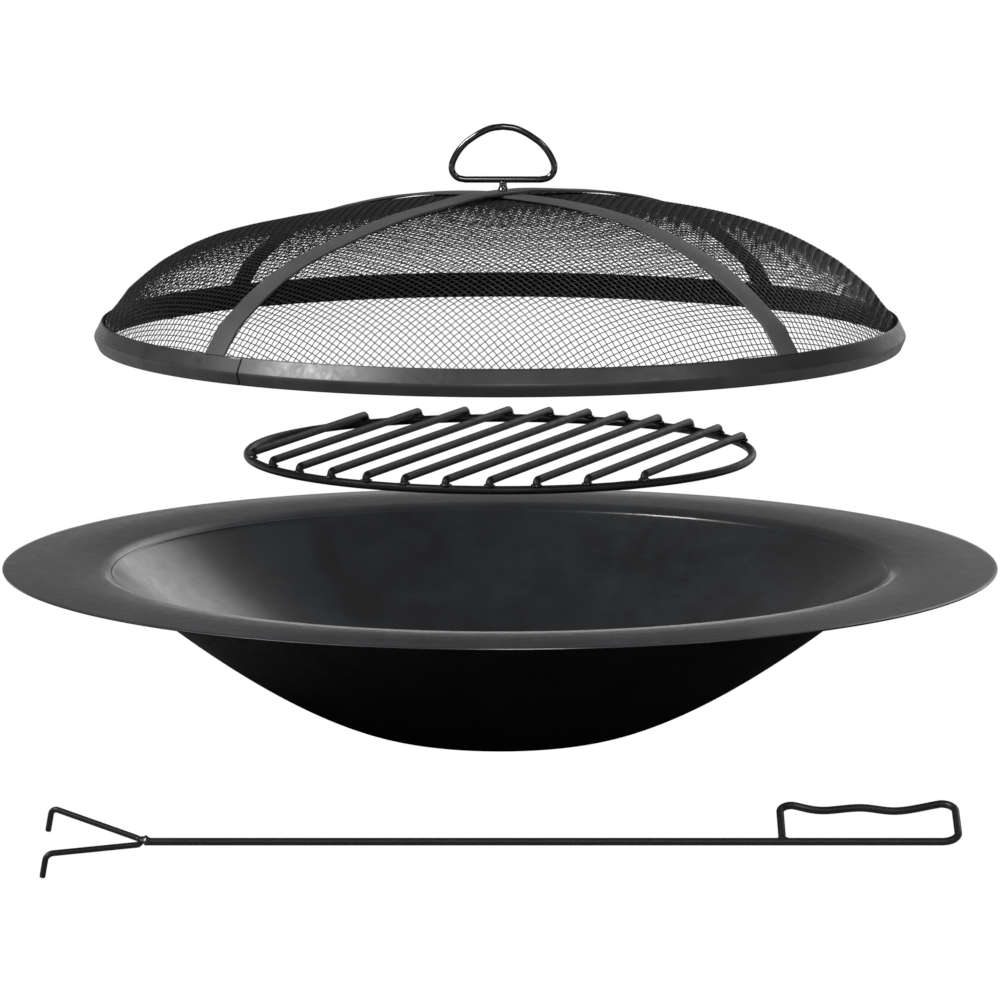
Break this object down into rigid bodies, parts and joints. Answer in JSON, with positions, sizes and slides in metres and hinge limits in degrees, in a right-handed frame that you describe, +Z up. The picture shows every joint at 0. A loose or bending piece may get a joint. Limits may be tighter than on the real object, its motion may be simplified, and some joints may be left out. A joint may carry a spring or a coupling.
{
  "type": "fire pit with grate",
  "caption": "Wide-rimmed round steel fire bowl with a round cooking grate, a domed mesh spark screen with a loop handle, and a fork-ended poker.",
  "frame": {"origin": "centre of the underside of the bowl's flat bottom", "axes": "+Z up along the axis of the bowl, grate and screen; +X along the poker towards its grip; +Y away from the poker"},
  "size_m": [0.762, 0.9276, 0.4687],
  "materials": {
    "bowl_paint": "black heat-resistant paint, satin, slightly uneven",
    "grate_paint": "black paint on round bar, satin",
    "screen_paint": "black paint on sheet and flat bar, satin",
    "mesh_paint": "black painted woven wire, satin",
    "handle_enamel": "gloss black coating",
    "plated_steel": "zinc plated",
    "poker_paint": "black paint on round bar, satin"
  },
  "bodies": {
    "bowl_body": {"bowl": "bowl_paint"},
    "grate_body": {"grate_ring": "grate_paint", "grate_bar_01": "grate_paint", "grate_bar_02": "grate_paint", "grate_bar_03": "grate_paint", "grate_bar_04": "grate_paint", "grate_bar_05": "grate_paint", "grate_bar_06": "grate_paint", "grate_bar_07": "grate_paint", "grate_bar_08": "grate_paint", "grate_bar_09": "grate_paint", "grate_bar_10": "grate_paint", "grate_bar_11": "grate_paint"},
    "screen_body": {"screen_rim": "screen_paint", "screen_mesh": "mesh_paint", "screen_strap_lower": "screen_paint", "screen_strap_upper": "screen_paint", "screen_handle": "handle_enamel", "handle_stud": "handle_enamel", "mesh_washer": "plated_steel", "stud_nut": "plated_steel"},
    "poker_body": {"poker_rod": "poker_paint", "poker_fork": "poker_paint"}
  },
  "joints": [
    {"name": "grate_lift", "type": "slide", "parent": "bowl_body", "child": "grate_body", "axis": [0, 0, 1], "range_m": [-0.1636, 0]},
    {"name": "screen_lift", "type": "slide", "parent": "grate_body", "child": "screen_body", "axis": [0, 0, 1], "range_m": [-0.0048, 0.16]},
    {"name": "poker_lift", "type": "slide", "parent": "bowl_body", "child": "poker_body", "axis": [0, 0, 1], "range_m": [0, 0.25]}
  ]
}
